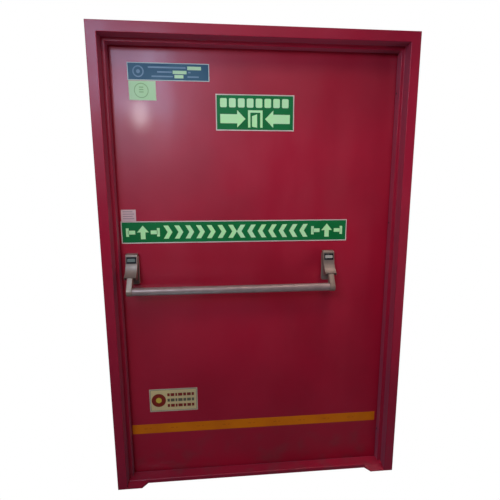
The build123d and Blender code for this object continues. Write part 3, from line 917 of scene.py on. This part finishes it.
    def labels(self) -> None:
        """The green and grey labels at the latch side."""
        green = Plate("green_label", "label_pale")
        paint(green.node, Finish.LABEL_CREAM)
        green.layer("field", Finish.LABEL_GREEN, [green.inner(self.label_border)])
        x, z = green.at(0.46, 0.5)
        green.layer("ring", Finish.LABEL_DEEP, [disc(x, z, 0.38 * green.height)], 1)
        green.layer("ring_ground", Finish.LABEL_GREEN, [disc(x, z, 0.34 * green.height)], 2)
        marks = [green.bar(0.38, 0.4 + 0.12 * step, 0.16, 0.05) for step in range(3)]
        green.layer("marks", Finish.LABEL_DEEP, marks, 3)
        grey = Plate("grey_label", "label_pale")
        paint(grey.node, Finish.LABEL_GREY)
        bars = [grey.bar(0.12, 0.18 + 0.2 * step, 0.76 - 0.1 * (step % 2), 0.08, 0.2) for step in range(4)]
        grey.layer("bars", Finish.LABEL_MARK, bars)

    def rating_sticker(self) -> None:
        """Tan sticker: a plain round spot beside three rows of short blocks."""
        plate = Plate("rating_sticker", "label_pale")
        paint(plate.node, Finish.LABEL_CREAM)
        plate.layer("line", Finish.STICKER_DARK, [plate.inner(self.sticker_line, 4 * MM)])
        plate.layer("field", Finish.STICKER_TAN, [plate.inner(self.sticker_field, 3 * MM)], 1)
        x, z = plate.at(0.19, 0.5)
        radius = 0.29 * plate.height
        plate.layer("spot", Finish.STICKER_RED, [disc(x, z, radius)], 2)
        plate.layer("spot_middle", Finish.STICKER_YELLOW, [disc(x, z, 0.4 * radius)], 3)
        outer = [*self.blocks(plate, 0.67), *self.blocks(plate, 0.19)]
        plate.layer("red_blocks", Finish.STICKER_RED, outer, 2)
        plate.layer("dark_blocks", Finish.STICKER_DARK, self.blocks(plate, 0.43), 2)

    def blocks(self, plate: Plate, up: float) -> list[Outline]:
        """One row of short blocks across the sticker's right part.

        Args:
            plate: The sticker.
            up: Bottom edge of the row, as a share of the sticker's height.

        Returns:
            Outlines of the blocks.
        """
        starts = [
            self.row_start + sum(self.row_widths[:step]) + self.row_gap * step
            for step in range(len(self.row_widths))
        ]
        return [plate.bar(start, up, width, 0.13, 0.1) for start, width in zip(starts, self.row_widths)]

    def tape(self) -> None:
        """Amber tape near the floor with a fine row of plain dashes."""
        plate = Plate("warning_tape", "tape_amber")
        paint(plate.node, Finish.TAPE_AMBER)
        count = int(plate.width / self.dash_pitch)
        start = plate.left + (plate.width - count * self.dash_pitch) / 2
        level, tall = plate.bottom + 0.46 * plate.height, 0.1 * plate.height
        outlines = [
            rectangle(start + step * self.dash_pitch + offset, level, length, tall)
            for step in range(count)
            for offset, length in self.dashes
        ]
        plate.layer("dashes", Finish.TAPE_DARK, outlines)

    def build(self) -> None:
        """Dresses every sign and label."""
        self.exit_sign()
        self.push_sign()
        self.certificate_plate()
        self.labels()
        self.rating_sticker()
        self.tape()


@dataclass
class Frame:
    """Fixed frame: jambs, head, sill, foot plates, seals and strike plate."""

    painted: tuple[str, ...] = (
        "latch_jamb", "hinge_jamb", "frame_head", "sill", "latch_foot_plate", "hinge_foot_plate",
    )
    seals: tuple[str, ...] = ("latch_seal", "hinge_seal", "head_seal")

    def build(self) -> None:
        """Dresses the frame's nodes."""
        for node in self.painted:
            paint(node, Finish.FRAME_ENAMEL)
        for node in self.seals:
            paint(node, Finish.SEAL_RUBBER)
        paint("strike_plate", Finish.BRIGHT_STEEL)


@dataclass
class Leaf:
    """Leaf: skins, edge channels, core and lock."""

    painted: tuple[str, ...] = (
        "leaf_push_skin", "leaf_pull_skin", "leaf_latch_edge", "leaf_hinge_edge",
        "leaf_top_channel", "leaf_bottom_channel",
    )

    def build(self) -> None:
        """Dresses the leaf's nodes."""
        for node in self.painted:
            paint(node, Finish.LEAF_ENAMEL)
        paint("leaf_core", Finish.CORE_BOARD)
        paint("lock_faceplate", Finish.BRIGHT_STEEL)
        paint("latch_bolt", Finish.BRIGHT_STEEL)


@dataclass
class Hinges:
    """Butt hinges on the pull side."""

    levels: tuple[str, ...] = ("bottom", "middle", "top")

    def build(self) -> None:
        """Dresses both wings of each hinge."""
        for level in self.levels:
            paint(f"{level}_frame_wing", Finish.HINGE_STEEL)
            paint(f"{level}_leaf_wing", Finish.HINGE_STEEL)


@dataclass
class PushBar:
    """Push bar: end cases, hoods, arms, tube and windows with their insets."""

    sides: tuple[str, ...] = ("latch", "hinge")
    case_edge: float = 0.7 * MM
    window_edge: float = 0.3 * MM
    lean: float = 9.0
    inset_width: float = 35 * MM
    inset_height: float = 14 * MM
    inset_corner: float = 3 * MM
    inset_seat: float = 0.4 * MM
    inset_thickness: float = 0.7 * MM

    def inset(self, side: str, finish: Finish) -> None:
        """Pale rounded pane in the middle of a hood's leaning window.

        Args:
            side: Which end case.
            finish: Finish of the pane.
        """
        low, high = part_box(f"{side}_window")
        lean = math.radians(self.lean)
        out = Vector((0.0, -math.cos(lean), math.sin(lean)))
        up = Vector((0.0, math.sin(lean), math.cos(lean)))
        seat = (Vector(low) + Vector(high)) / 2 + out * self.inset_seat
        shape = bmesh.new()
        left, bottom = -self.inset_width / 2, -self.inset_height / 2
        outline = rectangle(left, bottom, self.inset_width, self.inset_height, self.inset_corner)
        rear = [shape.verts.new(seat + Vector((x, 0, 0)) + up * z) for x, z in outline]
        thicken(shape, rear, out * self.inset_thickness)
        make_piece(f"{side}_window_inset", shape, finish, "push_bar")

    def build(self) -> None:
        """Dresses the bar's nodes and both end cases."""
        paint("bar_tube", Finish.TUBE_SATIN)
        for side in self.sides:
            for part in ("case_base", "hood", "arm"):
                # Hoods and case bases take the darker copy of the silver, which is painted shade; the arms
                # take the plain one.
                paint(f"{side}_{part}", Finish.CASE_SILVER if part == "arm" else Finish.HOOD_SILVER)
                soften(f"{side}_{part}", self.case_edge)
            paint(f"{side}_pivot_pin", Finish.BRIGHT_STEEL)
            paint(f"{side}_window", Finish.WINDOW_BLACK)
            soften(f"{side}_window", self.window_edge)
        self.inset("latch", Finish.WINDOW_GREEN)
        self.inset("hinge", Finish.WINDOW_INSET)


@dataclass(frozen=True)
class Heads:
    """A set of like screw or anchor heads on one face, each with a flat dark cross that is painted shade in
    place of a cross recess.

    The cross's length and breadth are shares of the head's radius.
    """

    name: str
    body: str
    slot: str
    finish: Finish
    out: Place
    places: tuple[Place, ...]
    radius: float = 3.6 * MM
    rise: float = 0.15 * MM
    crown: float = 0.92
    sides: int = 28
    cross_length: float = 1.1
    cross_breadth: float = 0.22
    cross_rise: float = 0.04 * MM

    def turned(self, place: Place, lift: float) -> Matrix:
        """Frame on a head, with +Z the way the head faces.

        Args:
            place: Where the head sits on its face.
            lift: How far in front of the face the frame lies.

        Returns:
            The frame's matrix.
        """
        turn = Vector(self.out).to_track_quat("Z", "Y").to_matrix().to_4x4()
        return Matrix.Translation(Vector(place) + Vector(self.out) * lift) @ turn

    def build(self) -> None:
        """Makes the heads and the flat dark crosses on them, which are painted shade in place of recesses."""
        heads = bmesh.new()
        for place in self.places:
            bmesh.ops.create_cone(
                heads, cap_ends=True, segments=self.sides, radius1=self.radius,
                radius2=self.radius * self.crown, depth=self.rise, matrix=self.turned(place, self.rise / 2),
            )
        make_piece(self.name, heads, self.finish, self.body)
        # The dark crosses are painted shade: thin raised sheets where the recesses would be.
        crosses = bmesh.new()
        long, short = self.cross_length * self.radius, self.cross_breadth * self.radius
        for place in self.places:
            for across, along in ((long, short), (short, long)):
                size = Matrix.Diagonal((across, along, self.cross_rise, 1.0))
                bmesh.ops.create_cube(crosses, size=1.0, matrix=self.turned(place, self.rise) @ size)
        make_piece(f"{self.name}_recess", crosses, Finish.RECESS_DARK, self.body)


@dataclass
class Fixings:
    """Screws of the hinges, lock, strike plate and end cases, and the anchors in the jambs."""

    wing_rows: tuple[Point, ...] = (
        (42 * MM, -38 * MM), (58 * MM, -13 * MM), (42 * MM, 13 * MM), (58 * MM, 38 * MM),
    )
    wing_flat: float = 50 * MM
    plate_reach: float = 62 * MM
    lock_reach: float = 88 * MM
    base_reach: float = 17 * MM
    base_rise: float = 13 * MM
    base_thickness: float = 6 * MM
    base_screw_radius: float = 3.2 * MM
    base_screw_rise: float = 0.3 * MM
    anchor_y: float = 5 * MM
    anchor_x: float = 633 * MM
    anchor_heights: tuple[float, ...] = (187 * MM, 1281 * MM, 1869 * MM)
    anchor_sink: float = 1.2 * MM
    anchor_radius: float = 4.7 * MM

    def wing(self, node: str, body: str, way: int) -> None:
        """Four screws on a hinge wing.

        Args:
            node: The wing.
            body: The body it belongs to.
            way: 1 where its open face looks towards +X, -1 for -X.
        """
        low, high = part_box(node)
        middle = (low.z + high.z) / 2
        face = self.wing_face(node, way)
        places = tuple((face, y, middle + z) for y, z in self.wing_rows)
        Heads(f"{node}_screws", body, "hinge_steel", Finish.BRIGHT_STEEL, (way, 0, 0), places).build()

    def wing_face(self, node: str, way: int) -> float:
        """Where a wing's open face lies across the door.

        Args:
            node: The wing.
            way: 1 where its open face looks towards +X, -1 for -X.

        Returns:
            The face's x, read from the wing's flat part in front of its knuckles.
        """
        wing = frame["nodes"][node]
        spots = [wing.matrix_world @ vertex.co for vertex in wing.data.vertices]
        flat = [spot.x for spot in spots if spot.y < self.wing_flat]
        return max(flat) if way > 0 else min(flat)

    def lock(self) -> None:
        """Screws of the faceplate and the strike plate."""
        low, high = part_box("lock_faceplate")
        y, z = (low.y + high.y) / 2, (low.z + high.z) / 2
        places = tuple((low.x, y, z + side * self.lock_reach) for side in (-1, 1))
        Heads("faceplate_screws", "leaf", "lock_steel", Finish.HINGE_STEEL, (-1, 0, 0), places).build()
        low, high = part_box("strike_plate")
        y, z = (low.y + high.y) / 2, (low.z + high.z) / 2
        places = tuple((high.x, y, z + side * self.plate_reach) for side in (-1, 1))
        Heads("strike_screws", "frame", "lock_steel", Finish.HINGE_STEEL, (1, 0, 0), places).build()

    def base(self, side: str) -> None:
        """Two screws at the foot of an end case's base.

        Args:
            side: Which end case.
        """
        low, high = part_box(f"{side}_case_base")
        middle = (low.x + high.x) / 2
        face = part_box("leaf_push_skin")[0].y - self.base_thickness
        places = tuple((middle + way * self.base_reach, face, low.z + self.base_rise) for way in (-1, 1))
        Heads(
            f"{side}_base_screws", "leaf", "case_metal", Finish.HINGE_STEEL, (0, -1, 0), places,
            self.base_screw_radius, self.base_screw_rise,
        ).build()

    def anchors(self) -> None:
        """Anchor heads sunk in the holes of both jambs, coloured a dark red that is painted shade of the
        holes.
        """
        for name, way in (("latch", 1), ("hinge", -1)):
            x = -way * (self.anchor_x + self.anchor_sink)
            places = tuple((x, self.anchor_y, height) for height in self.anchor_heights)
            Heads(
                f"{name}_anchors", "frame", "hinge_steel", Finish.ANCHOR_DARK, (way, 0, 0), places,
                self.anchor_radius,
            ).build()

    def build(self) -> None:
        """Makes every screw and anchor."""
        for level in ("bottom", "middle", "top"):
            self.wing(f"{level}_frame_wing", "frame", -1)
            self.wing(f"{level}_leaf_wing", "leaf", 1)
        self.lock()
        for side in ("latch", "hinge"):
            self.base(side)
        self.anchors()


@dataclass(frozen=True)
class Lamp:
    """A soft rectangular lamp: its power in watts, and the angle that its light fans out over in degrees."""

    name: str
    place: Place
    target: Place
    size: Point
    power: float
    colour: Colour
    spread: float = 180.0

    def build(self) -> None:
        """Hangs the lamp and points it at its target."""
        data = bpy.data.lights.new(self.name, "AREA")
        data.shape = "RECTANGLE"
        data.size, data.size_y = self.size
        data.energy = self.power
        data.color = self.colour
        data.spread = math.radians(self.spread)
        lamp = bpy.data.objects.new(self.name, data)
        bpy.context.scene.collection.objects.link(lamp)
        away = Vector(self.place) - Vector(self.target)
        turn = away.to_track_quat("Z", "Y").to_matrix().to_4x4()
        lamp.matrix_world = Matrix.Translation(self.place) @ turn


@dataclass
class Studio:
    """Pale floor, white surroundings, soft lamps and the camera of the photograph."""

    eye: Place = (-0.1718, -1.5914, 1.4144)
    pitch: float = -9.035
    yaw: float = -4.809
    roll: float = 0.246
    focal_pixels: float = 344.1
    image_pixels: float = 500.0
    sensor: float = 36.0
    nearest: float = 0.05
    sky: Colour = (0.70, 0.68, 1.0)
    sky_strength: float = 0.12
    floor_reach: float = 14.0
    floor_drop: float = 0.5 * MM
    lamps: tuple[Lamp, ...] = (
        Lamp("window", (-1.35, -2.6, 2.8), (-0.3, 0.0, 1.5), (1.4, 0.9), 44.0, (0.48, 0.68, 1.0)),
        Lamp("ceiling", (0.1, -1.9, 3.9), (-0.05, 0.0, 1.55), (1.6, 1.0), 2.2, (1.0, 0.86, 0.82), 44.0),
        Lamp("left", (-2.3, -1.3, 1.25), (0.35, 0.0, 1.65), (0.8, 1.3), 0.72, (1.0, 0.84, 0.82), 50.0),
        Lamp("right", (2.3, -1.2, 0.75), (-0.35, 0.0, 1.8), (0.8, 1.2), 1.1, (1.0, 0.84, 1.0), 58.0),
        Lamp("low", (-0.95, -2.7, 0.2), (-0.3, 0.0, 1.2), (0.9, 0.12), 0.8, (0.8, 0.9, 1.0)),
        Lamp("glint", (-1.14, -2.9, 2.40), (-0.5, 0.0, 1.7), (0.10, 0.26), 7.0, (1.0, 0.96, 0.98)),
        Lamp("top", (0.62, -0.32, 2.75), (0.58, -0.02, 0.0), (0.6, 0.12), 0.5, (1.0, 0.9, 0.92), 30.0),
        Lamp("side", (1.9, -0.5, 1.1), (0.2, -0.05, 1.1), (0.4, 1.8), 0.7, (1.0, 0.62, 0.75), 60.0),
        Lamp("under", (-0.1, -0.75, 0.05), (0.0, -0.03, 2.05), (1.0, 0.1), 0.45, (0.3, 0.8, 1.0), 40.0),
        Lamp("back", (-1.2, 3.6, 3.0), (0.0, 0.0, 1.0), (2.4, 2.0), 60.0, (1.0, 1.0, 1.0)),
    )

    def camera(self) -> None:
        """Places the camera at the photograph's point of view."""
        data = bpy.data.cameras.new("camera")
        data.sensor_width = self.sensor
        data.sensor_fit = "HORIZONTAL"
        data.lens = self.focal_pixels / self.image_pixels * self.sensor
        data.clip_start = self.nearest
        camera = bpy.data.objects.new("camera", data)
        bpy.context.scene.collection.objects.link(camera)
        turn = (
            Matrix.Rotation(math.radians(self.yaw), 4, "Z")
            @ Matrix.Rotation(math.radians(self.pitch), 4, "X")
            @ Matrix.Rotation(math.radians(self.roll), 4, "Y")
            @ Matrix.Rotation(math.radians(90), 4, "X")
        )
        camera.matrix_world = Matrix.Translation(self.eye) @ turn
        bpy.context.scene.camera = camera

    def world(self) -> None:
        """White surroundings for the camera, and dim bluish ones for light and reflections."""
        world = bpy.data.worlds.new("surroundings")
        bpy.context.scene.world = world
        world.use_nodes = True
        tree = world.node_tree
        tree.nodes.clear()
        output = tree.nodes.new("ShaderNodeOutputWorld")
        shown = tree.nodes.new("ShaderNodeBackground")
        shown.inputs["Color"].default_value = (1, 1, 1, 1)
        shown.inputs["Strength"].default_value = 1.0
        soft = tree.nodes.new("ShaderNodeBackground")
        soft.inputs["Color"].default_value = (*self.sky, 1)
        soft.inputs["Strength"].default_value = self.sky_strength
        path = tree.nodes.new("ShaderNodeLightPath")
        mix = tree.nodes.new("ShaderNodeMixShader")
        tree.links.new(path.outputs["Is Camera Ray"], mix.inputs[0])
        tree.links.new(soft.outputs[0], mix.inputs[1])
        tree.links.new(shown.outputs[0], mix.inputs[2])
        tree.links.new(mix.outputs[0], output.inputs[0])

    def floor(self) -> None:
        """Pale floor under the door, plain white to the camera."""
        reach = self.floor_reach
        shape = bmesh.new()
        corners = [(-reach, -reach), (reach, -reach), (reach, reach), (-reach, reach)]
        shape.faces.new([shape.verts.new((x, y, -self.floor_drop)) for x, y in corners])
        mesh = bpy.data.meshes.new("floor")
        shape.to_mesh(mesh)
        shape.free()
        floor = bpy.data.objects.new("floor", mesh)
        bpy.context.scene.collection.objects.link(floor)
        graph = Graph("floor_pale")
        seen = graph.add("ShaderNodeLightPath").outputs["Is Camera Ray"]
        pale = graph.blend(graph.noise(3, 3), (0.20, 0.20, 0.21), (0.24, 0.24, 0.25))
        graph.set(Base_Color=graph.blend(seen, pale, (0.0, 0.0, 0.0)))
        graph.set(Roughness=0.8, Specular_IOR_Level=0.0)
        graph.set(Emission_Color=(1.0, 1.0, 1.0), Emission_Strength=seen)
        mesh.materials.append(graph.material)

    def build(self) -> None:
        """Sets up the whole studio."""
        bpy.context.scene.view_settings.view_transform = "Standard"
        self.camera()
        self.world()
        self.floor()
        for lamp in self.lamps:
            lamp.build()


def main() -> None:
    """Builds every sub-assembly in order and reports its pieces."""
    logging.basicConfig(level=logging.INFO, format="%(name)s %(message)s")
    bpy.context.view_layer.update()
    for part in (Studio(), Frame(), Leaf(), Hinges(), PushBar(), Fixings(), Signs()):
        before = set(bpy.data.objects.keys())
        part.build()
        LOG.info("%s dressed", type(part).__name__)
        for name in bpy.data.objects.keys():
            if name not in before:
                LOG.info("%s added %s", type(part).__name__, name)


if __name__ == "__main__":
    main()
